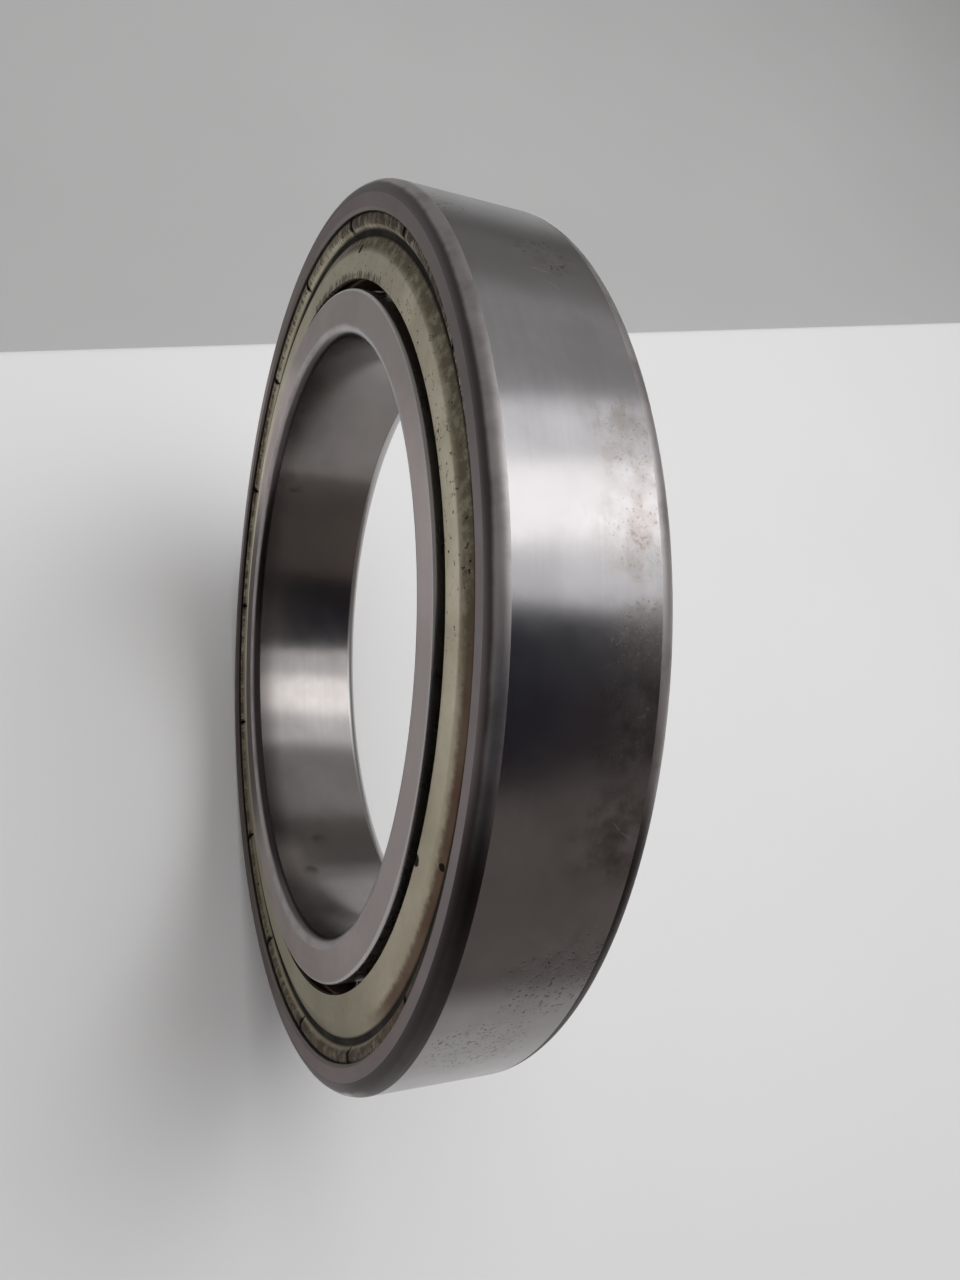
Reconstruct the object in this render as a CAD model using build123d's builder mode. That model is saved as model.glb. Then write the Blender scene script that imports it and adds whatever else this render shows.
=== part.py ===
from build123d import *

import math
import os

# Single-row angular contact ball bearing with a shield at each side.
# Millimetres. The origin is the bearing's centre and the bearing's axis is Y: the front face, with the
# relieved shoulder of the outer ring behind its shield, looks along -Y. Z is up when the bearing stands
# on its rim.

# Boundary dimensions
bore_radius = 27.5
outside_radius = 40.0
width = 13.0
front_corner = 1.2
back_corner = 1.5
bore_corner = 1.0

# Balls and the lines of contact through them
ball_count = 22
ball_diameter = 7.144
pitch_radius = 33.75
contact_angle = 25.0
groove_radius = 0.52 * ball_diameter
running_clearance = 0.05
first_ball_angle = 90.0

# Ring shoulders on each side of the ball grooves
inner_land_radius = 31.35
inner_land_corner = 0.25
high_shoulder_radius = 36.2
relieved_shoulder_radius = 37.2
relief_rise = 0.25

# Shield seats turned in the outer ring
lip_radius = 37.45
lip_chamfer = 0.25
seat_radius = 37.9
seat_mouth = 0.5
seat_floor = 1.5

# Shields, pressed from sheet: flat from the inner edge, sloping into a valley, up again to a rim at
# the flat's own level, and curled from there into the seat. Depths are to the sheet's middle.
sheet = 0.35
sheet_bend = 0.2
shield_setback = 0.45
shield_inner_radius = 32.2
slope_radius = 34.3
valley_inner_radius = 35.7
valley_outer_radius = 36.15
valley_depth = 1.22
rim_inner_radius = 36.75
rim_outer_radius = 37.3
curl_radius = 37.68
curl_gap = 0.02

# Slits that let the rim curl without wrinkling
slit_count = 15
slit_width = 0.3
slit_start_radius = 36.3
slit_phase = 1.65

# Cage, guided by the outer ring
cage_inner_radius = 32.5
cage_outer_radius = 35.95
cage_half_width = 4.6
cage_corner = 0.3
pocket_radius = 3.75
drill_overrun = 1.0

# How near a radius or a face must be to count as the one looked for
tolerance = 0.01

half_width = width / 2
ball_radius = ball_diameter / 2
pitch = 360 / ball_count
contact = math.radians(contact_angle)

# Each groove's centre stands off from the balls' centre along the line of contact.
groove_offset = groove_radius - ball_radius - running_clearance
outer_groove_r = pitch_radius - groove_offset * math.cos(contact)
outer_groove_y = -groove_offset * math.sin(contact)
inner_groove_r = pitch_radius + groove_offset * math.cos(contact)
inner_groove_y = groove_offset * math.sin(contact)


def groove_edge(shoulder_radius, groove_r):
    """How far from its own centre, along the axis, a ball groove meets a shoulder."""
    return math.sqrt(groove_radius**2 - (shoulder_radius - groove_r) ** 2)


os.makedirs("parts", exist_ok=True)

# Outer ring: half a section in the XY plane, X being the radius, turned about the bearing's axis.
front_edge = outer_groove_y - groove_edge(relieved_shoulder_radius, outer_groove_r)
back_edge = outer_groove_y + groove_edge(high_shoulder_radius, outer_groove_r)
seat_front = -half_width + seat_mouth
seat_back = -half_width + seat_floor
with BuildPart() as outer_ring:
    with BuildSketch(Plane.XY):
        with BuildLine():
            front_relief = relieved_shoulder_radius + relief_rise
            Polyline(
                (relieved_shoulder_radius, front_edge),
                (front_relief, seat_back),
                (seat_radius, seat_back),
                (seat_radius, seat_front),
                (lip_radius, seat_front),
                (lip_radius, -half_width + lip_chamfer),
                (lip_radius + lip_chamfer, -half_width),
                (outside_radius, -half_width),
                (outside_radius, half_width),
                (lip_radius + lip_chamfer, half_width),
                (lip_radius, half_width - lip_chamfer),
                (lip_radius, -seat_front),
                (seat_radius, -seat_front),
                (seat_radius, -seat_back),
                (high_shoulder_radius, -seat_back),
                (high_shoulder_radius, back_edge),
            )
            ThreePointArc(
                (high_shoulder_radius, back_edge),
                (outer_groove_r + groove_radius, outer_groove_y),
                (relieved_shoulder_radius, front_edge),
            )
        make_face()
    revolve(axis=Axis.Y)
    rims = outer_ring.edges().filter_by(GeomType.CIRCLE)
    rims = rims.filter_by(lambda edge: edge.radius > outside_radius - tolerance).sort_by(Axis.Y)
    fillet(rims[0], front_corner)
    fillet(rims[-1], back_corner)
outer_ring.part.label = "outer_ring"
export_step(outer_ring.part, "parts/outer_ring.step")

# Inner ring: the same way, with the groove in its outside.
inner_front_edge = inner_groove_y - groove_edge(inner_land_radius, inner_groove_r)
inner_back_edge = inner_groove_y + groove_edge(inner_land_radius, inner_groove_r)
with BuildPart() as inner_ring:
    with BuildSketch(Plane.XY):
        with BuildLine():
            Polyline(
                (inner_land_radius, inner_back_edge),
                (inner_land_radius, half_width),
                (bore_radius, half_width),
                (bore_radius, -half_width),
                (inner_land_radius, -half_width),
                (inner_land_radius, inner_front_edge),
            )
            ThreePointArc(
                (inner_land_radius, inner_front_edge),
                (inner_groove_r - groove_radius, inner_groove_y),
                (inner_land_radius, inner_back_edge),
            )
        make_face()
    revolve(axis=Axis.Y)
    face_edges = inner_ring.edges().filter_by(GeomType.CIRCLE)
    face_edges = face_edges.filter_by(lambda edge: abs(edge.arc_center.Y) > half_width - tolerance)
    fillet(face_edges.filter_by(lambda edge: edge.radius < bore_radius + tolerance), bore_corner)
    fillet(face_edges.filter_by(lambda edge: edge.radius > bore_radius + tolerance), inner_land_corner)
inner_ring.part.label = "inner_ring"
export_step(inner_ring.part, "parts/inner_ring.step")

# Front shield: the sheet's middle line, from the free inner edge to the curled edge in the seat,
# thickened both ways and turned, with its rim slit all round.
flat_y = -half_width + shield_setback + sheet / 2
valley_y = -half_width + valley_depth
curl_y = seat_back - curl_gap - sheet / 2
shield_line = [
    (shield_inner_radius + sheet / 2, flat_y),
    (slope_radius, flat_y),
    (valley_inner_radius, valley_y),
    (valley_outer_radius, valley_y),
    (rim_inner_radius, flat_y),
    (rim_outer_radius, flat_y),
    (curl_radius, curl_y),
]
with BuildPart() as front_shield:
    with BuildSketch(Plane.XY):
        with BuildLine():
            FilletPolyline(*shield_line, radius=sheet_bend)
            offset(amount=sheet / 2, side=Side.BOTH)
        make_face()
    revolve(axis=Axis.Y)
    slit_length = curl_radius + sheet - slit_start_radius
    with BuildSketch(Plane.XZ.offset(half_width)):
        with PolarLocations(slit_start_radius + slit_length / 2, slit_count, start_angle=slit_phase):
            Rectangle(slit_length, slit_width)
    extrude(amount=-seat_floor, mode=Mode.SUBTRACT)
front_shield.part.label = "front_shield"
export_step(front_shield.part, "parts/front_shield.step")

# Rear shield: the same pressing, turned round to close the other side.
with BuildPart() as rear_shield:
    add(mirror(front_shield.part, about=Plane.XZ, mode=Mode.PRIVATE))
rear_shield.part.label = "rear_shield"
export_step(rear_shield.part, "parts/rear_shield.step")

# Cage: a plain turned ring with a radial pocket drilled for each ball.
with BuildPart() as cage:
    with BuildSketch(Plane.XZ.offset(-cage_half_width)):
        Circle(cage_outer_radius)
        Circle(cage_inner_radius, mode=Mode.SUBTRACT)
    extrude(amount=2 * cage_half_width)
    fillet(cage.edges().filter_by(GeomType.CIRCLE), cage_corner)
    for index in range(ball_count):
        pocket_angle = first_ball_angle + index * pitch
        outward = Vector(1, 0, 0).rotate(Axis.Y, -pocket_angle)
        drill_start = outward * (cage_inner_radius - drill_overrun)
        with BuildSketch(Plane(origin=drill_start, z_dir=outward)):
            Circle(pocket_radius)
        extrude(amount=cage_outer_radius - cage_inner_radius + 2 * drill_overrun, mode=Mode.SUBTRACT)
cage.part.label = "cage"
export_step(cage.part, "parts/cage.step")

# Balls: evenly pitched, the first at the top.
for index in range(ball_count):
    ball_angle = math.radians(first_ball_angle + index * pitch)
    ball_x = pitch_radius * math.cos(ball_angle)
    ball_z = pitch_radius * math.sin(ball_angle)
    with BuildPart() as ball:
        with Locations((ball_x, 0, ball_z)):
            Sphere(ball_radius)
    ball.part.label = f"ball_{index + 1:02d}"
    export_step(ball.part, f"parts/{ball.part.label}.step")
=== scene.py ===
import math

import bmesh
import bpy
from mathutils import Matrix, Vector


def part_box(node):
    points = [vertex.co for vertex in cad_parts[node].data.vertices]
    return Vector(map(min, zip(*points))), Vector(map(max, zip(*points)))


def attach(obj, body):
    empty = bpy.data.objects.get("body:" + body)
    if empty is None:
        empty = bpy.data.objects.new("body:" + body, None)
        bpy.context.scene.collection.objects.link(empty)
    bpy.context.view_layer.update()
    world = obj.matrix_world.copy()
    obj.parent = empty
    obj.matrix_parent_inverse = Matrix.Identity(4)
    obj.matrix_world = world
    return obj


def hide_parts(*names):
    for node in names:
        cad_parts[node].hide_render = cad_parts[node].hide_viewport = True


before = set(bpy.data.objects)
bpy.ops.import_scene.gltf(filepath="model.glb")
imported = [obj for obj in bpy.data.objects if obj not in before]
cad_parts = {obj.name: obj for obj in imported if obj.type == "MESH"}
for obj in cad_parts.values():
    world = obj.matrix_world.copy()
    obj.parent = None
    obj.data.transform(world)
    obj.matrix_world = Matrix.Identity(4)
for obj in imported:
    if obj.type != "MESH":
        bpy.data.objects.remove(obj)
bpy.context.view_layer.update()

# Outer ring. Bearing steel, turned, hardened and then ground on its outside, its faces and its ball groove.
# Its corners and the seats for the shields are left as turned, so the heat treatment's brown oxide stays on
# them. It is the fixed ring here, and both shields are curled into its seats.
mm = 0.001
outside_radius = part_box("outer_ring")[1].x
half_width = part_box("outer_ring")[1].y
front_corner = 1.2 * mm
back_corner = 1.5 * mm
lip_radius = 37.45 * mm
seat_radius = 37.9 * mm
lip_chamfer = 0.25 * mm
seat_mouth = half_width - 0.5 * mm
seat_floor = half_width - 1.5 * mm
high_shoulder = 36.2 * mm
relief_mouth = 37.45 * mm
edge_break = 0.07 * mm
pitch_radius = 33.75 * mm
contact_angle = math.radians(25)
groove_radius = 3.715 * mm
groove_offset = 0.093 * mm


def rounded(outline, steps=9):
    """An outline of (radius, place on the axis, rounding, finish), with each corner rounded by an arc."""
    points = []
    for index, (r, y, rounding, finish) in enumerate(outline):
        corner = Vector((r, y))
        before = Vector(outline[index - 1][:2]) - corner
        after = Vector(outline[(index + 1) % len(outline)][:2]) - corner
        if not rounding:
            points.append((r, y, finish))
            continue
        before.normalize()
        after.normalize()
        half_angle = before.angle(after) / 2
        centre = corner + (before + after).normalized() * rounding / math.sin(half_angle)
        start = corner + before * rounding / math.tan(half_angle) - centre
        sweep = start.angle_signed(corner + after * rounding / math.tan(half_angle) - centre)
        arc_finish = "corner" if rounding > 0.5 * mm else finish
        for step in range(steps + 1):
            place = centre + Matrix.Rotation(-sweep * step / steps, 2) @ start
            points.append((place.x, place.y, arc_finish if step < steps else finish))
    return points


def groove(offset_sign, first_y, last_y, finish, steps=24):
    """Points along a ball groove between two places on the axis: +1 in the outer ring, -1 in the inner."""
    centre_r = pitch_radius - offset_sign * groove_offset * math.cos(contact_angle)
    centre_y = -offset_sign * groove_offset * math.sin(contact_angle)
    start = math.asin((first_y - centre_y) / groove_radius)
    stop = math.asin((last_y - centre_y) / groove_radius)
    points = []
    for step in range(steps + 1):
        angle = start + (stop - start) * step / steps
        r = centre_r + offset_sign * groove_radius * math.cos(angle)
        points.append((r, centre_y + groove_radius * math.sin(angle), 0, finish))
    return points


def turned(name, outline, finishes, turns=384):
    """A closed ring: an outline of (radius, place on the axis, finish), turned about the bearing's axis."""
    verts = []
    for turn in range(turns):
        angle = 2 * math.pi * turn / turns
        verts += [(r * math.cos(angle), y, r * math.sin(angle)) for r, y, _ in outline]
    faces = []
    slots = []
    count = len(outline)
    order = list(finishes)
    for turn in range(turns):
        here = turn * count
        there = (turn + 1) % turns * count
        for row in range(count):
            after = (row + 1) % count
            faces.append((here + row, here + after, there + after, there + row))
            slots.append(order.index(outline[row][2]))
    mesh = bpy.data.meshes.new(name)
    mesh.from_pydata(verts, [], faces)
    mesh.polygons.foreach_set("material_index", slots)
    for finish in finishes.values():
        mesh.materials.append(finish)
    return placed(name, mesh)


def placed(name, mesh, sharpest=32):
    """The mesh as an object, smooth but for its sharp edges, with flats that stay flat by their corners."""
    mesh.validate()
    mesh.shade_smooth()
    mesh.set_sharp_from_angle(angle=math.radians(sharpest))
    piece = bpy.data.objects.new(name, mesh)
    bpy.context.scene.collection.objects.link(piece)
    even = piece.modifiers.new("even_shading", "WEIGHTED_NORMAL")
    even.keep_sharp = True
    return piece


class Finish:
    """A metal or plastic surface, built a node at a time round one principled shader."""

    def __init__(self, name, **constants):
        self.material = bpy.data.materials.new(name)
        self.material.use_nodes = True
        self.tree = self.material.node_tree
        self.tree.nodes.clear()
        output = self.tree.nodes.new("ShaderNodeOutputMaterial")
        self.shader = self.tree.nodes.new("ShaderNodeBsdfPrincipled")
        self.tree.links.new(self.shader.outputs[0], output.inputs[0])
        for socket, value in constants.items():
            self.shader.inputs[socket.replace("_", " ")].default_value = value
        self.place = self.node("TexCoord").outputs["Object"]
        parts = self.node("SeparateXYZ", {0: self.place}).outputs
        self.x, self.y, self.z = parts
        self.radius = self.math("SQRT", self.plus(self.times(self.x, self.x), self.times(self.z, self.z)))

    def node(self, kind, inputs=None, **settings):
        made = self.tree.nodes.new("ShaderNode" + kind)
        for setting, value in settings.items():
            setattr(made, setting, value)
        for socket, value in (inputs or {}).items():
            if isinstance(value, bpy.types.NodeSocket):
                self.tree.links.new(value, made.inputs[socket])
            else:
                made.inputs[socket].default_value = value
        return made

    def math(self, operation, a, b=0.0, clamp=False):
        return self.node("Math", {0: a, 1: b}, operation=operation, use_clamp=clamp).outputs[0]

    def times(self, a, b):
        return self.math("MULTIPLY", a, b)

    def plus(self, a, b, clamp=False):
        return self.math("ADD", a, b, clamp)

    def minus(self, a, b, clamp=False):
        return self.math("SUBTRACT", a, b, clamp)

    def fade(self, value, low, high, start=0.0, stop=1.0):
        """A value's soft step from start, at low, to stop, at high."""
        step = {"Value": value, "From Min": low, "From Max": high, "To Min": start, "To Max": stop}
        return self.node("MapRange", step, interpolation_type="SMOOTHSTEP").outputs[0]

    def cloud(self, size, detail=3.0, roughness=0.55, shift=0.0):
        """Soft blotches of one size, in metres."""
        vector = self.node("Mapping", {0: self.place, 1: (shift, shift, shift)}).outputs[0]
        settings = {"Vector": vector, "Scale": 1 / size, "Detail": detail, "Roughness": roughness}
        return self.node("TexNoise", settings).outputs[0]

    def turning(self, pitch, reach, detail=2.0, shift=0.0):
        """Lines round the axis, as a wheel or a tool leaves them: their spacing and their length."""
        stretch = (1 / reach, 1 / pitch, 1 / reach)
        vector = self.node("Mapping", {0: self.place, 1: (shift, shift, shift), 3: stretch}).outputs[0]
        depth = self.times(self.radius, 1 / pitch)
        settings = {"Vector": vector, "W": depth, "Scale": 1.0, "Detail": detail}
        return self.node("TexNoise", settings, noise_dimensions="4D").outputs[0]

    def spot(self, angle, y, reach, radius):
        """1 at one place on a ring, named by its angle from X towards Z, fading to 0 at the reach."""
        turn = math.radians(angle)
        centre = (radius * math.cos(turn), y, radius * math.sin(turn))
        distance = self.node("VectorMath", {0: self.place, 1: centre}, operation="DISTANCE")
        return self.fade(distance.outputs["Value"], reach * 0.35, reach, 1.0, 0.0)

    def arc(self, middle, half, soft=14):
        """1 within an angle of a direction round the axis, fading to 0 over some degrees more."""
        turn = self.math("ARCTAN2", self.z, self.x)
        away = self.math("COSINE", self.minus(turn, math.radians(middle)))
        return self.fade(away, math.cos(math.radians(half + soft)), math.cos(math.radians(half)))

    def score(self, start, stop, radius, width):
        """1 along a fine scratch on a cylinder, from one (angle, place on the axis) to another."""
        run = Vector((math.radians(stop[0] - start[0]) * radius, stop[1] - start[1]))
        turn = self.minus(self.math("ARCTAN2", self.z, self.x), math.radians(start[0]))
        around = self.times(turn, radius)
        over = self.minus(self.y, start[1])
        ahead, side = run.normalized()
        along = self.plus(self.times(around, ahead), self.times(over, side))
        apart = self.minus(self.times(around, side), self.times(over, ahead))
        from_middle = self.math("ABSOLUTE", self.minus(along, run.length / 2))
        within = self.fade(from_middle, run.length * 0.3, run.length * 0.5, 1.0, 0.0)
        return self.times(within, self.fade(self.math("ABSOLUTE", apart), 0.0, width, 1.0, 0.0))

    def most(self, *values):
        result = values[0]
        for value in values[1:]:
            result = self.math("MAXIMUM", result, value)
        return result

    def blend(self, amount, first, second):
        """One colour over another, by an amount from 0 to 1."""
        made = self.node("Mix", {0: amount}, data_type="RGBA")
        for socket, value in ((6, first), (7, second)):
            if isinstance(value, bpy.types.NodeSocket):
                self.tree.links.new(value, made.inputs[socket])
            else:
                made.inputs[socket].default_value = (*value, 1)
        return made.outputs[2]

    def darkened_round(self, shade, places, dark_colour=(0.09, 0.075, 0.07)):
        """The shade under a darker colour round the axis: each place is a direction, a half width, a soft
        end, a strength.
        """
        for middle, half, soft, strength in places:
            film = self.times(self.arc(middle, half, soft), strength)
            shade = self.blend(film, shade, dark_colour)
        return shade

    def feed(self, socket, value):
        self.tree.links.new(value, self.shader.inputs[socket])

    def relief(self, height, depth, under=None):
        """Bump of a height from 0 to 1 and a depth in metres, over another bump."""
        inputs = {"Height": height, "Distance": depth, "Strength": 1.0}
        if under:
            inputs["Normal"] = under
        return self.node("Bump", inputs).outputs[0]

    def brush(self):
        """Turns the stretched highlight of a ground surface across its grinding lines."""
        self.feed("Tangent", self.node("Tangent", direction_type="RADIAL", axis="Y").outputs[0])


class GroundSteel(Finish):
    """Hardened steel with fine grinding lines and faint clouding. Its marks are laid over it one by one."""

    def __init__(self, name, colour, roughness, brushing, darkened_arcs=(), glancing=(1.0, 1.0, 1.0)):
        super().__init__(name, Anisotropic=brushing, Anisotropic_Rotation=0.25, IOR=1.45, Metallic=1.0)
        self.shader.inputs["Specular Tint"].default_value = (*glancing, 1.0)
        self.brush()
        hair = self.turning(0.07 * mm, 7 * mm)
        line = self.turning(0.3 * mm, 30 * mm, shift=0.4)
        cloud = self.cloud(9 * mm, detail=4.0)
        haze = self.cloud(2.2 * mm, detail=5.0, shift=0.7)
        darker = tuple(channel * 0.84 for channel in colour)
        tone = self.fade(self.plus(self.times(cloud, 0.88), self.times(line, 0.12)), 0.38, 0.62)
        # Darkened arcs round the axis: painted shade, and in the bore partly brown stains.
        self.shade = self.darkened_round(self.blend(tone, darker, colour), darkened_arcs)
        self.rough = self.plus(self.times(hair, 0.03), self.times(haze, 0.09))
        self.rough = self.plus(self.rough, roughness - 0.06)
        self.bump = self.relief(hair, 0.0008 * mm)

    def cover(self, mark, strength, colour, rougher=0.0):
        """Lays a mark's colour over the steel, and roughens the steel under it."""
        self.shade = self.blend(self.times(mark, strength), self.shade, colour)
        if rougher:
            self.rough = self.plus(self.rough, self.times(mark, rougher))

    def near(self, places):
        return self.most(*(self.spot(*place) for place in places))

    def rust(self, places, stain_brown=(0.36, 0.285, 0.225), fleck_brown=(0.22, 0.155, 0.115)):
        """A light-brown stain with fine darker flecks in it."""
        zone = self.near(places)
        fine = self.cloud(0.26 * mm, detail=3.0, roughness=0.6, shift=0.2)
        broad = self.cloud(1.5 * mm, detail=4.0, shift=0.35)
        grain = self.plus(self.times(fine, 0.8), self.times(broad, 0.2))
        fleck = self.fade(self.minus(grain, self.fade(zone, 0.0, 1.0, 0.74, 0.56)), -0.02, 0.1)
        stain = self.times(zone, self.fade(broad, 0.34, 0.7))
        self.cover(stain, 0.34, stain_brown, 0.08)
        self.cover(fleck, 0.24, fleck_brown, 0.08)
        self.bump = self.relief(fleck, 0.0008 * mm, self.bump)
        self.feed("Metallic", self.minus(1.0, self.times(fleck, 0.08)))

    def pit(self, places, mottle_brown=(0.2, 0.16, 0.145), pit_black=(0.05, 0.04, 0.04)):
        """Small black pits in a brownish mottle."""
        zone = self.near(places)
        dots = self.cloud(0.3 * mm, detail=2.0, roughness=0.5, shift=0.5)
        patch = self.cloud(1.3 * mm, detail=4.0, roughness=0.6, shift=0.15)
        hole = self.fade(self.minus(dots, self.fade(zone, 0.0, 1.0, 0.80, 0.60)), 0.0, 0.05)
        self.cover(self.times(zone, self.fade(patch, 0.42, 0.74)), 0.4, mottle_brown)
        self.cover(hole, 0.8, pit_black)
        self.bump = self.relief(self.minus(1.0, hole), 0.006 * mm, self.bump)

    def smear(self, places, grease_brown=(0.08, 0.052, 0.044)):
        """Old grease, wiped thin."""
        film = self.cloud(2.4 * mm, detail=5.0, roughness=0.6, shift=0.3)
        self.cover(self.times(self.near(places), self.fade(film, 0.3, 0.66)), 0.6, grease_brown, 0.1)

    def scratch(self, scores, bright=(0.85, 0.83, 0.81)):
        """Fine bright scratches."""
        for start, stop, radius in scores:
            self.cover(self.score(start, stop, radius, 0.05 * mm), 0.7, bright, 0.3)

    def made(self):
        self.feed("Base Color", self.shade)
        self.feed("Roughness", self.rough)
        self.feed("Normal", self.bump)
        return self.material


def oxidised_steel(name, by_face, by_side, roughness, darkened_arcs=(), at_back=None):
    """Turned steel under the brown-purple oxide that hardening leaves, in one tone by the face and another
    by the cylinder."""
    steel = Finish(name, Anisotropic=0.3, Anisotropic_Rotation=0.25, Metallic=1.0, IOR=2.5)
    oxide_patch = (0.12, 0.095, 0.095)
    tool_line = (0.42, 0.4, 0.39)
    painted_shade_black = (0.03, 0.02, 0.02)
    steel.brush()
    line = steel.turning(0.14 * mm, 9 * mm)
    cloud = steel.cloud(3 * mm, detail=5.0, shift=0.6)
    depth = steel.plus(steel.math("ABSOLUTE", steel.y), steel.times(cloud, 0.2 * mm))
    shade = steel.blend(steel.fade(depth, 6.18 * mm, 6.42 * mm), by_side, by_face)
    shade = steel.blend(steel.fade(cloud, 0.4, 0.7, 0.0, 0.4), shade, oxide_patch)
    shade = steel.blend(steel.fade(line, 0.6, 0.8, 0.0, 0.2), shade, tool_line)
    # Painted shade: near black at the given directions round the axis.
    shade = steel.darkened_round(shade, darkened_arcs, painted_shade_black)
    if at_back:
        shade = steel.blend(steel.fade(steel.y, -1 * mm, 1 * mm), shade, at_back)
    steel.feed("Base Color", shade)
    steel.feed("Roughness", steel.plus(steel.times(line, 0.12), roughness - 0.06))
    steel.feed("Normal", steel.relief(line, 0.002 * mm))
    return steel.material


rust_places = [
    (86, 4.3 * mm, 5.5 * mm, outside_radius),
    (77, 4.2 * mm, 5.0 * mm, outside_radius),
    (68, 4.4 * mm, 5.0 * mm, outside_radius),
    (59, 4.8 * mm, 4.5 * mm, outside_radius),
]
pit_places = [
    (22, -1.0 * mm, 7.0 * mm, outside_radius),
    (34, 2.5 * mm, 7.0 * mm, outside_radius),
    (119, -4.8 * mm, 3.5 * mm, outside_radius),
    (110, 1.5 * mm, 4.0 * mm, outside_radius),
]
smear_places = [
    (61, 3.6 * mm, 5.0 * mm, outside_radius),
    (50, 3.6 * mm, 5.0 * mm, outside_radius),
]
scratches = [
    ((106.5, -0.4 * mm), (106.0, 1.0 * mm), outside_radius),
    ((104.5, 0.6 * mm), (103.4, 1.4 * mm), outside_radius),
    ((50.6, 3.6 * mm), (49.8, 4.5 * mm), outside_radius),
    ((51.6, 2.9 * mm), (50.6, 3.6 * mm), outside_radius),
]
ball_groove_steel = (0.62, 0.61, 0.6)
# Painted shade: the outside is darkened at three directions round the axis.
outside_painted_shade = [(47, 8, 9, 0.3), (12, 19, 8, 0.55), (121, 12, 10, 0.25)]
outside_steel = GroundSteel("ground_outside", (0.54, 0.525, 0.53), 0.225, 0.6, outside_painted_shade)
outside_steel.rust(rust_places)
outside_steel.pit(pit_places)
outside_steel.smear(smear_places)
outside_steel.scratch(scratches)
# Painted shade: the outer face is darkened at two directions round the axis.
outer_face_painted_shade = [(280, 38, 16, 0.95), (166, 20, 14, 0.2)]
outer_face_steel = GroundSteel(
    "ground_outer_face", (0.26, 0.23, 0.235), 0.34, 0.5, outer_face_painted_shade, glancing=(0.74, 0.69, 0.67)
)
# Painted shade: the outer corners are darkened in near black at one direction round the axis.
corner_painted_shade = [(28, 18, 12, 0.95)]
outer_finishes = {
    "outside": outside_steel.made(),
    "corner": oxidised_steel(
        "turned_corner", (0.14, 0.115, 0.12), (0.66, 0.62, 0.62), 0.46, corner_painted_shade
    ),
    "face": outer_face_steel.made(),
    "seat": oxidised_steel("shield_seat", (0.16, 0.14, 0.13), (0.06, 0.05, 0.045), 0.42),
    "groove": GroundSteel("outer_ball_groove", ball_groove_steel, 0.16, 0.4).made(),
}


def outer_ring_outline():
    """The section, from the front face's inner edge out over the outside and back through the grooves."""
    lip_face = lip_radius + lip_chamfer
    front = [
        (lip_face, -half_width, edge_break, "face"),
        (outside_radius, -half_width, front_corner, "outside"),
        (outside_radius, half_width, back_corner, "face"),
        (lip_face, half_width, edge_break, "seat"),
        (lip_radius, half_width - lip_chamfer, edge_break, "seat"),
        (lip_radius, seat_mouth, 0, "seat"),
        (seat_radius, seat_mouth, 0, "seat"),
        (seat_radius, seat_floor, 0, "seat"),
        (high_shoulder, seat_floor, edge_break, "groove"),
    ]
    back = [
        (relief_mouth, -seat_floor, edge_break, "seat"),
        (seat_radius, -seat_floor, 0, "seat"),
        (seat_radius, -seat_mouth, 0, "seat"),
        (lip_radius, -seat_mouth, 0, "seat"),
        (lip_radius, -half_width + lip_chamfer, edge_break, "seat"),
    ]
    return front + groove(1, 2.68 * mm, -1.18 * mm, "groove") + back


outer_ring = turned("outer_ring_ground", rounded(outer_ring_outline()), outer_finishes)
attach(outer_ring, "outer_race")
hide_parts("outer_ring")

# Inner ring. The same steel, ground in the bore, on both faces and in its ball groove. It turns inside the
# balls, and the shields leave a thin dark gap round its land.
land_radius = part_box("inner_ring")[1].x
bore_radius = 27.5 * mm
bore_corner = 1.0 * mm
land_corner = 0.25 * mm
bore_stains = [
    (206.5, -4.4 * mm, 1.7 * mm, bore_radius),
    (208.0, -3.5 * mm, 1.2 * mm, bore_radius),
    (304, -0.6 * mm, 1.2 * mm, bore_radius),
    (314, -2.6 * mm, 1.1 * mm, bore_radius),
]
# Darker at three directions round the bore: partly brown stains, partly painted shade.
bore_stains_and_shade = [(168, 30, 22, 0.5), (226, 10, 10, 0.35), (320, 16, 12, 0.4)]
bore_steel = GroundSteel("ground_bore", (0.44, 0.415, 0.4), 0.2, 0.6, bore_stains_and_shade)
# The bore is darker towards its front end.
bore_front_darkening = bore_steel.fade(bore_steel.y, -3.2 * mm, -5.6 * mm)
bore_steel.cover(bore_front_darkening, 0.6, (0.12, 0.1, 0.095))
bore_steel.smear(bore_stains)
# Painted shade: the inner face is darkened at one direction round the axis.
inner_face_steel = GroundSteel(
    "ground_inner_face", (0.49, 0.45, 0.44), 0.3, 0.5, [(256, 26, 20, 0.95)], glancing=(0.7, 0.655, 0.635)
)
inner_finishes = {
    "bore": bore_steel.made(),
    "corner": oxidised_steel(
        "turned_bore_corner", (0.34, 0.315, 0.31), (0.09, 0.075, 0.075), 0.3, at_back=(0.5, 0.49, 0.48)
    ),
    "face": inner_face_steel.made(),
    "land": GroundSteel("ground_land", (0.55, 0.53, 0.52), 0.28, 0.5).made(),
    "groove": GroundSteel("inner_ball_groove", ball_groove_steel, 0.16, 0.4).made(),
}
inner_outline = [
    (land_radius, half_width, land_corner, "face"),
    (bore_radius, half_width, bore_corner, "bore"),
    (bore_radius, -half_width, bore_corner, "face"),
    (land_radius, -half_width, land_corner, "land"),
    *groove(-1, -2.72 * mm, 2.8 * mm, "groove"),
]
inner_ring = turned("inner_ring_ground", rounded(inner_outline), inner_finishes)
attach(inner_ring, "inner_race")
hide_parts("inner_ring")

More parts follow.
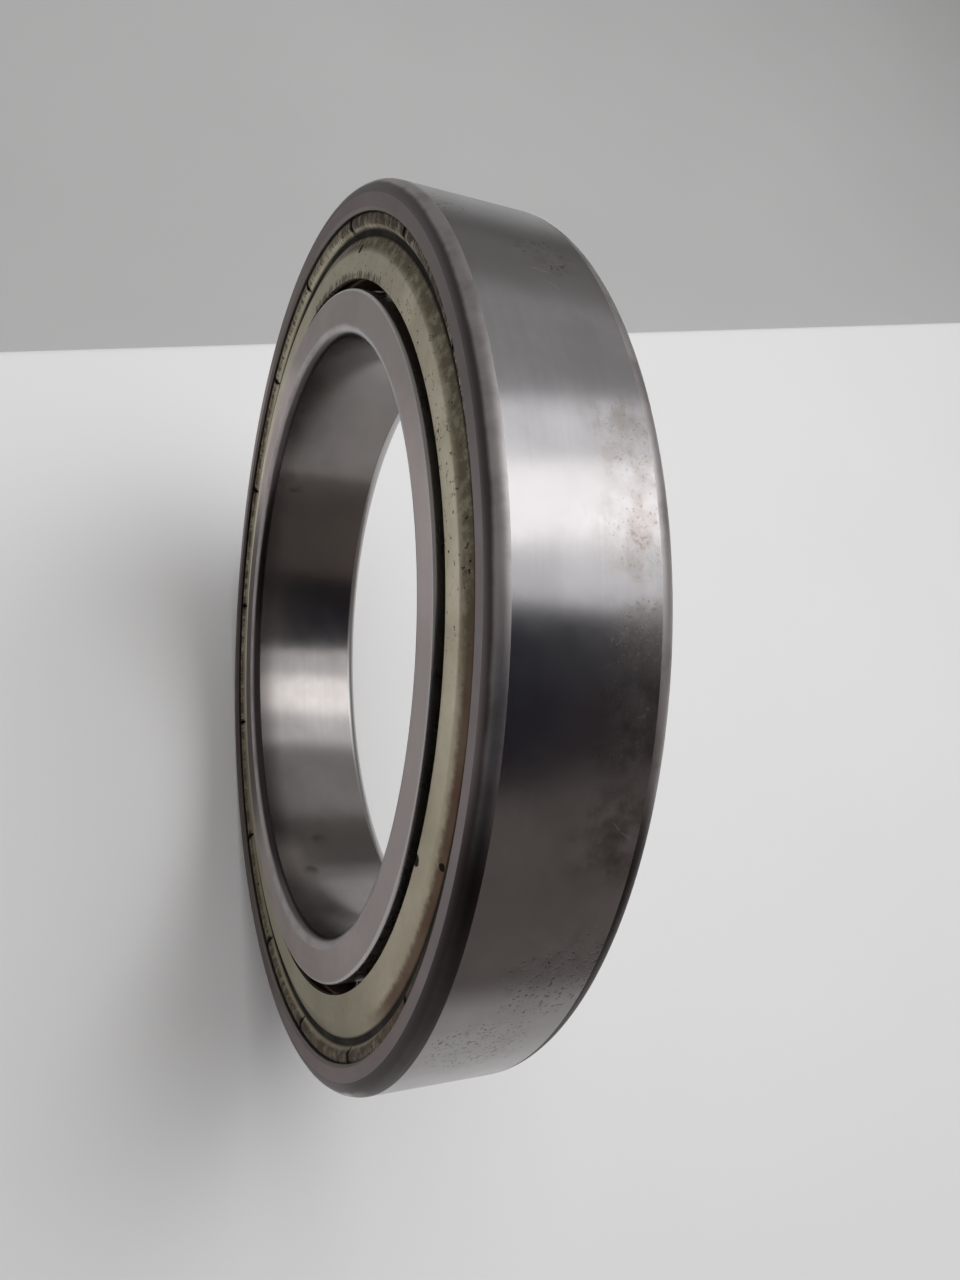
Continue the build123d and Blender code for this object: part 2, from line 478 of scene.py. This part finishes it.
# Shields. Rings of 0.35 mm sheet, pressed to a flat, a valley and a raised rim, zinc plated and then
# curled into the outer ring's seat. Fifteen slits in the rim let it curl without wrinkling.
sheet = 0.35 * mm
sheet_bend = 0.22 * mm
slit_count = 15
slit_width = 0.3 * mm
slit_start = 36.3 * mm
slit_phase = math.radians(1.65)
flat_y = half_width - 0.45 * mm - sheet / 2
valley_y = half_width - 1.22 * mm
curl_y = seat_floor + 0.02 * mm + sheet / 2
shield_line = [
    (32.2 * mm, flat_y, 0, ""),
    (34.3 * mm, flat_y, 0.5 * mm, ""),
    (35.7 * mm, valley_y, sheet_bend, ""),
    (36.15 * mm, valley_y, sheet_bend, ""),
    (36.75 * mm, flat_y, sheet_bend, ""),
    (37.3 * mm, flat_y, sheet_bend, ""),
    (37.68 * mm, curl_y, 0, ""),
]


def pressed_section(line, spacing=0.12 * mm):
    """The two skins of the sheet along its middle line, as pairs of points, closer than the spacing."""
    ends = {0, len(line) - 1}
    bends = rounded([(r, y, 0 if i in ends else bend, "") for i, (r, y, bend, _) in enumerate(line)], 5)
    middle = [Vector(bends[0][:2])]
    for r, y, _ in bends[1:]:
        here = Vector((r, y))
        parts = max(1, math.ceil((here - middle[-1]).length / spacing))
        start = middle[-1]
        middle += [start.lerp(here, part / parts) for part in range(1, parts + 1)]
    pairs = []
    for index, here in enumerate(middle):
        run = middle[min(index + 1, len(middle) - 1)] - middle[max(index - 1, 0)]
        across = Vector((-run.y, run.x)).normalized() * sheet / 2
        pairs.append((here + across, here - across))
    return pairs


def slit_turns(between=26):
    """Angles of the sheet's stations round the axis, and for each whether a slit opens after it."""
    turns = []
    slit_angle = slit_width / (slit_start + 0.7 * mm)
    for index in range(slit_count):
        start = slit_phase + 2 * math.pi * index / slit_count - slit_angle / 2
        turns.append((start, True))
        rest = 2 * math.pi / slit_count - slit_angle
        turns += [(start + slit_angle + rest * step / between, False) for step in range(between)]
    return turns


def pressed_shield(name, side, finish):
    """A closed sheet ring with its rim slit: side is -1 for the front and 1 for the back."""
    pairs = pressed_section(shield_line)
    turns = slit_turns()
    rows = len(pairs)
    verts = []
    for angle, _ in turns:
        for skin in (0, 1):
            for pair in pairs:
                r, y = pair[skin]
                verts.append((r * math.cos(angle), side * y, r * math.sin(angle)))
    open_from = next(row for row in range(rows) if (pairs[row][0].x + pairs[row][1].x) / 2 > slit_start)
    faces = []
    for index, (_, slit) in enumerate(turns):
        here = index * 2 * rows
        there = (index + 1) % len(turns) * 2 * rows
        last = open_from if slit else rows - 1
        for row in range(last):
            faces.append((here + row, here + row + 1, there + row + 1, there + row))
            inside = here + rows + row
            faces.append((inside, there + rows + row, there + rows + row + 1, inside + 1))
        faces.append((here, there, there + rows, here + rows))
        faces.append((here + last, here + rows + last, there + rows + last, there + last))
        if slit:
            for row in range(open_from, rows - 1):
                for edge in (here, there):
                    faces.append((edge + row, edge + row + 1, edge + rows + row + 1, edge + rows + row))
    mesh = bpy.data.meshes.new(name)
    mesh.from_pydata(verts, [], faces)
    mesh.materials.append(finish)
    outward(mesh)
    return placed(name, mesh, 40)


def outward(mesh):
    """Turns every face of a closed mesh to look outward."""
    work = bmesh.new()
    work.from_mesh(mesh)
    bmesh.ops.recalc_face_normals(work, faces=work.faces)
    work.to_mesh(mesh)
    work.free()


def plated_sheet(name):
    """Yellowed zinc plate, scratched along the radius, with rust and dirt by its valley and rim, painted
    shade in the valley, and painted shadows by the rim and at the slits.
    """
    plate = Finish(name, IOR=1.45, Specular_IOR_Level=0.2)
    dull_zinc = (0.52, 0.47, 0.35)
    bright_zinc = (0.65, 0.6, 0.465)
    handled_zinc = (0.2, 0.165, 0.1)
    rust_red = (0.16, 0.065, 0.036)
    dust_brown = (0.16, 0.13, 0.08)
    worn_brown = (0.095, 0.066, 0.04)
    scratch_brown = (0.1, 0.08, 0.065)
    grease_and_shade_black = (0.012, 0.009, 0.007)

    cloud = plate.cloud(5 * mm, detail=5.0)
    fine = plate.cloud(0.45 * mm, detail=4.0, shift=0.3)
    gritty = plate.cloud(0.9 * mm, detail=5.0, roughness=0.65, shift=0.55)
    shade = plate.blend(plate.fade(cloud, 0.3, 0.7), dull_zinc, bright_zinc)
    handled = [(158, 24, 20, 0.25), (320, 40, 24, 0.6), (18, 26, 20, 0.3)]
    shade = plate.darkened_round(shade, handled, handled_zinc)

    def band(start, full, last, end):
        """1 between two radii, fading to 0 on each side."""
        rise = plate.fade(plate.radius, start, full)
        return plate.times(rise, plate.fade(plate.radius, last, end, 1.0, 0.0))

    slope = band(34.2 * mm, 34.9 * mm, 36.2 * mm, 36.5 * mm)
    valley = band(35.45 * mm, 35.7 * mm, 36.1 * mm, 36.35 * mm)
    rim = plate.fade(plate.radius, 36.25 * mm, 36.6 * mm)
    flat = plate.fade(plate.radius, 34.3 * mm, 35.3 * mm, 1.0, 0.0)

    uneven = plate.plus(plate.radius, plate.times(fine, 0.5 * mm))
    rusting = plate.times(plate.fade(uneven, 34.85 * mm, 35.4 * mm), plate.arc(44, 20, 16))
    rusting = plate.times(rusting, plate.fade(cloud, 0.3, 0.7, 0.7, 1.0))
    shade = plate.blend(plate.times(rusting, 0.92), shade, rust_red)
    dusting = plate.times(slope, plate.arc(108, 34, 20))
    dusting = plate.times(dusting, plate.fade(gritty, 0.34, 0.56, 0.35, 0.85))
    shade = plate.blend(dusting, shade, dust_brown)
    worn = plate.times(rim, plate.fade(gritty, 0.4, 0.58, 0.35, 0.95))
    worn = plate.times(worn, plate.minus(1.0, plate.times(plate.arc(174, 18, 10), 0.7)))
    shade = plate.blend(worn, shade, worn_brown)

    rays = plate.node("CombineXYZ", {
        0: plate.math("DIVIDE", plate.x, plate.radius),
        1: plate.times(plate.radius, 2.2),
        2: plate.math("DIVIDE", plate.z, plate.radius),
    }).outputs[0]
    hatch = plate.node("TexNoise", {"Vector": rays, "Scale": 230.0, "Detail": 3.0}).outputs[0]
    inner_edge = plate.fade(plate.radius, 32.3 * mm, 33.7 * mm, 1.0, 0.0)
    inner_edge = plate.times(inner_edge, plate.arc(146, 13, 16))
    scratched = plate.most(plate.times(inner_edge, 0.95), plate.times(rim, 0.75))
    scratch = plate.fade(plate.minus(hatch, plate.fade(scratched, 0.0, 1.0, 0.80, 0.44)), 0.0, 0.06)
    shade = plate.blend(plate.times(scratch, 0.85), shade, scratch_brown)

    ridge = plate.math("ABSOLUTE", plate.minus(plate.cloud(1.8 * mm, detail=3.0, shift=0.1), 0.5))
    crack = plate.times(plate.fade(ridge, 0.002, 0.010, 1.0, 0.0), plate.arc(100, 22))
    crack = plate.times(plate.times(crack, flat), plate.fade(gritty, 0.48, 0.56))
    speck = plate.fade(plate.cloud(0.4 * mm, detail=2.0, shift=0.8), 0.66, 0.71)
    speck = plate.times(speck, plate.most(plate.arc(112, 40), rim))
    # Painted shadow: the rim is darkened at each slit.
    part_turn = plate.times(plate.math("ARCTAN2", plate.z, plate.x), slit_count / (2 * math.pi))
    half_on = slit_phase * slit_count / (2 * math.pi) - 0.5
    from_slit = plate.minus(plate.math("FRACT", plate.minus(part_turn, half_on)), 0.5)
    slit_shadow = plate.times(plate.fade(plate.math("ABSOLUTE", from_slit), 0.012, 0.04, 1.0, 0.0), rim)
    lump = plate.most(
        plate.spot(40, -half_width + 0.4 * mm, 0.9 * mm, 32.3 * mm),
        plate.spot(43, -half_width + 0.8 * mm, 0.55 * mm, 35.3 * mm),
        plate.spot(140, -half_width + 0.6 * mm, 0.75 * mm, 34.6 * mm),
    )
    lump = plate.fade(plate.plus(plate.times(lump, 0.8), plate.times(fine, 0.8)), 0.98, 1.12)
    # Painted shade: near black along the valley, and by the rim on one side a painted shadow of the outer
    # ring's lip.
    painted_valley_shade = plate.times(valley, plate.fade(cloud, 0.2, 0.6, 0.85, 1.0))
    lip_shadow = plate.times(plate.fade(plate.radius, 35.75 * mm, 36.0 * mm), plate.arc(56, 18, 14))
    painted_valley_shade = plate.most(painted_valley_shade, plate.times(lip_shadow, plate.fade(gritty, 0.35, 0.7, 1.0, 0.7)))
    # Specks, cracks and lumps of dirt, with the painted shade and shadows, all laid on in near black.
    dirt_and_shade = plate.most(painted_valley_shade, plate.times(crack, 0.8), speck, slit_shadow, lump)

    # Dirt, wear, scratches, dust, rust and the painted shade make the plate rougher and less metallic.
    filth_and_shade = plate.most(dirt_and_shade, worn, scratch, dusting, rusting)
    rough = plate.plus(plate.times(fine, 0.2), 0.34)
    bump = plate.relief(fine, 0.004 * mm)
    plate.feed("Base Color", plate.blend(dirt_and_shade, shade, grease_and_shade_black))
    plate.feed("Roughness", plate.plus(rough, plate.times(filth_and_shade, 0.3), clamp=True))
    plate.feed("Metallic", plate.minus(1.0, plate.times(filth_and_shade, 0.9), clamp=True))
    plate.feed("Normal", plate.relief(plate.minus(1.0, dirt_and_shade), 0.012 * mm, bump))
    return plate.material


plated = plated_sheet("yellowed_zinc_plate")
for node, side in (("front_shield", -1), ("rear_shield", 1)):
    shield = pressed_shield(node + "_pressed", side, plated)
    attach(shield, "outer_race")
    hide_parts(node)

# Cage. One ring of fabric-reinforced phenolic, turned and drilled through for each ball. It floats between
# the rings, guided by the outer ring, and keeps its own shape from the frame.
cage_finish = Finish("fabric_laminate", Roughness=0.5)
weave_around = cage_finish.turning(0.5 * mm, 60 * mm)
weave_across = cage_finish.cloud(0.35 * mm, detail=2.0)
cage_shade = cage_finish.blend(weave_around, (0.07, 0.03, 0.012), (0.16, 0.08, 0.03))
cage_finish.feed("Base Color", cage_finish.blend(
    cage_finish.fade(weave_across, 0.45, 0.7, 0.0, 0.6), cage_shade, (0.2, 0.125, 0.06)
))
cage_finish.feed("Normal", cage_finish.relief(weave_across, 0.01 * mm))
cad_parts["cage"].data.materials[0] = cage_finish.material

# Balls. Chrome steel, lapped to a mirror and wet with grease. Each rolls in its own pocket of the cage.
ball_finish = Finish("lapped_ball", Metallic=1.0, IOR=2.5)
film = ball_finish.cloud(1.2 * mm, detail=3.0)
ball_finish.feed("Base Color", ball_finish.blend(film, (0.62, 0.62, 0.63), (0.74, 0.74, 0.75)))
ball_finish.feed("Roughness", ball_finish.fade(film, 0.3, 0.8, 0.05, 0.16))
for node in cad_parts:
    if node.startswith("ball_"):
        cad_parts[node].data.materials[0] = ball_finish.material

# Tabletop. A pale laminate board with a rounded edge, which the bearing stands on. A greyer floor lies
# below it and beyond its edge.
table_top = -outside_radius
table_thickness = 12 * mm
table_edge = [Vector((-59, -37)) * mm, Vector((-114, 185)) * mm]
along = (table_edge[1] - table_edge[0]).normalized()
inward = Vector((along.y, -along.x))
table_reach = 0.7


def board(name, corners, top, thickness, finish):
    """A flat slab with softened edges."""
    verts = [(c.x, c.y, z) for z in (top - thickness, top) for c in corners]
    count = len(corners)
    faces = [tuple(range(count))[::-1], tuple(range(count, 2 * count))]
    faces += [(i, (i + 1) % count, count + (i + 1) % count, count + i) for i in range(count)]
    mesh = bpy.data.meshes.new(name)
    mesh.from_pydata(verts, [], faces)
    mesh.materials.append(finish)
    slab = bpy.data.objects.new(name, mesh)
    bpy.context.scene.collection.objects.link(slab)
    soft = slab.modifiers.new("soft_edge", "BEVEL")
    soft.width = 2 * mm
    soft.segments = 5


def painted(name, pale, paler, roughness):
    """A flat painted or laminated surface, barely mottled."""
    paint = Finish(name, Roughness=roughness)
    paint.feed("Base Color", paint.blend(paint.cloud(60 * mm, detail=3.0), pale, paler))
    return paint.material


edge_point = table_edge[0]
table_corners = [
    edge_point - along * table_reach,
    edge_point - along * table_reach + inward * 2 * table_reach,
    edge_point + along * table_reach + inward * 2 * table_reach,
    edge_point + along * table_reach,
]
laminate = painted("pale_laminate", (0.79, 0.79, 0.795), (0.83, 0.83, 0.835), 0.45)
board("tabletop", table_corners, table_top, table_thickness, laminate)
floor_reach = 3.0
floor_corners = [Vector(corner) * floor_reach for corner in ((-1, -1), (1, -1), (1, 1), (-1, 1))]
floor_paint = painted("grey_floor", (0.45, 0.455, 0.455), (0.49, 0.495, 0.495), 0.6)
board("floor", floor_corners, table_top - table_thickness, table_thickness, floor_paint)

# Camera. A short lens held close above the bearing, beside its front face and rolled to the ring.
camera_place = Vector((33.26, -28.44, 79.03)) * mm
camera_right = Vector((0.1287, 0.9063, 0.4025))
camera_up = Vector((-0.9266, -0.0347, 0.3744))
camera_back = camera_right.cross(camera_up)
camera_turn = Matrix((camera_right, camera_up, camera_back)).transposed()
lens = bpy.data.cameras.new("lens")
lens.lens = 25.75
lens.sensor_width = 36
lens.clip_start = 1 * mm
lens.clip_end = 20
camera = bpy.data.objects.new("camera", lens)
camera.matrix_world = Matrix.Translation(camera_place) @ camera_turn.to_4x4()
bpy.context.scene.collection.objects.link(camera)
bpy.context.scene.camera = camera

# Light. Softboxes overhead, leaning to the back of the bearing, and dim grey surroundings. Three dark cards
# behind the lens and one upright on the table glow faintly and are seen only in reflections: painted
# reflections that keep the polished rings from washing out. The strongest box lights the table alone, so
# that the bearing's shadow is soft while the metal keeps its contrast.
def softbox(name, place, width, depth, power, tint, on_metal=True):
    """A rectangular light that faces the bearing."""
    box = bpy.data.lights.new(name, "AREA")
    box.shape = "RECTANGLE"
    box.size = width
    box.size_y = depth
    box.energy = power
    box.color = tint
    made = bpy.data.objects.new(name, box)
    made.location = place
    made.rotation_euler = place.to_track_quat("Z", "Y").to_euler()
    made.visible_camera = False
    made.visible_glossy = on_metal
    bpy.context.scene.collection.objects.link(made)


warm_white = (1.0, 0.975, 0.96)
cool_white = (0.96, 0.97, 1.0)
blue_white = (0.94, 0.96, 1.0)
plain_white = (1.0, 0.992, 0.99)
softbox("bright_core", Vector((-62, 190, 410)) * mm, 130 * mm, 300 * mm, 0.13, warm_white)
softbox("dim_surround", Vector((-58, 190, 420)) * mm, 370 * mm, 360 * mm, 0.345, cool_white)
softbox("dim_tail", Vector((-350, 190, 360)) * mm, 270 * mm, 400 * mm, 0.052, blue_white)
softbox("table_fill", Vector((-120, 60, 440)) * mm, 450 * mm, 450 * mm, 1.66, plain_white, on_metal=False)


def flag(name, left, right, low, high, plane, colour, corner=8 * mm):
    """A dark card with rounded corners, laid out on a plane and seen only in reflections, glowing faintly
    in its colour: a painted reflection.
    """
    card = Finish(name, Roughness=0.9)
    card.shader.inputs["Base Color"].default_value = (0, 0, 0, 1)
    card.shader.inputs["Emission Color"].default_value = (*colour, 1)
    card.shader.inputs["Emission Strength"].default_value = 1.0
    points = []
    for quarter, (x, y) in enumerate(((right, high), (left, high), (left, low), (right, low))):
        inset = Vector((x - math.copysign(corner, x - (left + right) / 2),
                        y - math.copysign(corner, y - (low + high) / 2)))
        for step in range(7):
            angle = math.pi / 2 * (quarter + step / 6)
            points.append((inset.x + corner * math.cos(angle), inset.y + corner * math.sin(angle), 0))
    mesh = bpy.data.meshes.new(name)
    mesh.from_pydata(points, [], [tuple(range(len(points)))])
    mesh.materials.append(card.material)
    mesh.transform(plane)
    made = bpy.data.objects.new(name, mesh)
    bpy.context.scene.collection.objects.link(made)
    made.visible_camera = False
    made.visible_diffuse = False
    made.visible_shadow = False


def behind_lens(distance):
    return camera.matrix_world @ Matrix.Translation((0, 0, distance))


quarter_turn = math.pi / 2
upright = Matrix.Rotation(quarter_turn, 4, "X") @ Matrix.Rotation(quarter_turn, 4, "Y")
standing = Matrix.Translation((165 * mm, 0, 0)) @ upright
blue_black = (0.005, 0.006, 0.014)
warm_grey = (0.115, 0.087, 0.084)
soft_black = (0.03, 0.026, 0.027)
warm_mid_grey = (0.16, 0.138, 0.13)
flag("near_flag", -25 * mm, 118 * mm, -72 * mm, 13 * mm, behind_lens(4 * mm), blue_black, 24 * mm)
flag("far_flag", 78 * mm, 420 * mm, -600 * mm, -40 * mm, behind_lens(40 * mm), warm_grey)
flag("side_flag", -380 * mm, 76 * mm, -700 * mm, -10 * mm, behind_lens(44 * mm), soft_black)
flag("standing_flag", 0, 500 * mm, table_top, 150 * mm, standing, warm_mid_grey)

world = bpy.data.worlds.new("surroundings")
world.use_nodes = True
surroundings = world.node_tree.nodes["Background"]
surroundings.inputs[0].default_value = (0.21, 0.205, 0.2, 1)
surroundings.inputs[1].default_value = 1.0
bpy.context.scene.world = world
bpy.context.scene.view_settings.view_transform = "Standard"
